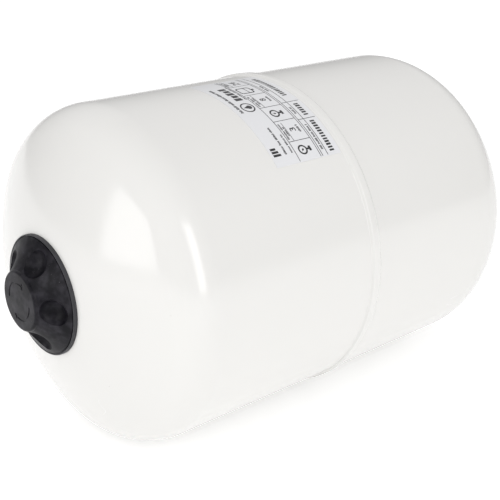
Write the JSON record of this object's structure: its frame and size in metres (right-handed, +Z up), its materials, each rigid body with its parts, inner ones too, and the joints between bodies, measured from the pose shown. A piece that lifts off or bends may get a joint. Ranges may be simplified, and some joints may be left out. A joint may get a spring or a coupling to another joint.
{
  "type": "expansion vessel",
  "caption": "White cylindrical expansion vessel with dished ends and a lapped mid seam, black finger-grip cap over its air valve, bolted flange and threaded pipe connection.",
  "frame": {"origin": "on the vessel axis, half way along the male thread of the water connection", "axes": "+X along the axis, out of the water connection; the capped air end is at -X. +Z up with the vessel lying on its side, the rating label towards the top of its -Y side"},
  "size_m": [0.5209, 0.2842, 0.2842],
  "materials": {
    "white_paint": "glossy powder coat, off-white",
    "weld_paint": "glossy powder coat over a weld bead",
    "zinc_steel": "zinc plated",
    "bolt_steel": "zinc plated, yellowish",
    "brass": "turned",
    "butyl": "matte",
    "seal_rubber": "satin",
    "cap_plastic": "satin, fine texture",
    "dust_plastic": "satin",
    "ptfe": "smooth",
    "spring_wire": "bright drawn wire",
    "label_film": "satin film, bluish white"
  },
  "bodies": {
    "vessel": {"air_shell": "white_paint", "water_shell": "white_paint", "seam_weld": "weld_paint", "neck_ring": "white_paint", "neck_weld": "weld_paint", "counter_flange": "zinc_steel", "connection_nipple": "zinc_steel", "nipple_weld": "zinc_steel", "flange_bolts": "bolt_steel", "spring_washers": "bolt_steel", "bladder": "butyl", "rating_label": "label_film", "valve_boss": "white_paint", "boss_weld": "weld_paint", "valve_stem": "brass", "valve_stem_seal": "seal_rubber", "core_barrel": "brass", "core_seal": "ptfe", "core_spring": "spring_wire"},
    "valve_pin": {"core_pin": "brass", "core_disc": "seal_rubber"},
    "dust_cap_pad": {"dust_cap_seal": "seal_rubber"},
    "dust_cap": {"dust_cap": "dust_plastic"},
    "rim_ring": {"rim_ring": "seal_rubber"},
    "cap_washer": {"cap_washer": "seal_rubber"},
    "protective_cap": {"protective_cap": "cap_plastic"}
  },
  "joints": [
    {"name": "cap_lift", "type": "slide", "parent": "vessel", "child": "rim_ring", "axis": [-1, 0, 0], "range_m": [0, 0.06]},
    {"name": "cap_screw", "type": "slide", "parent": "rim_ring", "child": "cap_washer", "axis": [-1, 0, 0], "range_m": [0, 0.009]},
    {"name": "cap_turn", "type": "hinge", "parent": "cap_washer", "child": "protective_cap", "pos_m": [-0.4945, 0, 0], "axis": [-1, 0, 0], "range_deg": [0, 1620]},
    {"name": "dust_cap_screw", "type": "slide", "parent": "vessel", "child": "dust_cap_pad", "axis": [-1, 0, 0], "range_m": [0, 0.00635]},
    {"name": "dust_cap_turn", "type": "hinge", "parent": "dust_cap_pad", "child": "dust_cap", "pos_m": [-0.4945, 0, 0], "axis": [-1, 0, 0], "range_deg": [0, 2880.1]},
    {"name": "valve_push", "type": "slide", "parent": "vessel", "child": "valve_pin", "axis": [1, 0, 0], "range_m": [0, 0.0012], "stiffness_N_per_m": 800, "springref_m": -0.0005, "deforming": ["core_spring"]}
  ],
  "couplings": [
    {"joint": "cap_screw", "follows": "cap_turn", "m_per_rad": 0.00031831},
    {"joint": "dust_cap_turn", "follows": "dust_cap_screw", "rad_per_m": 7913.3}
  ]
}
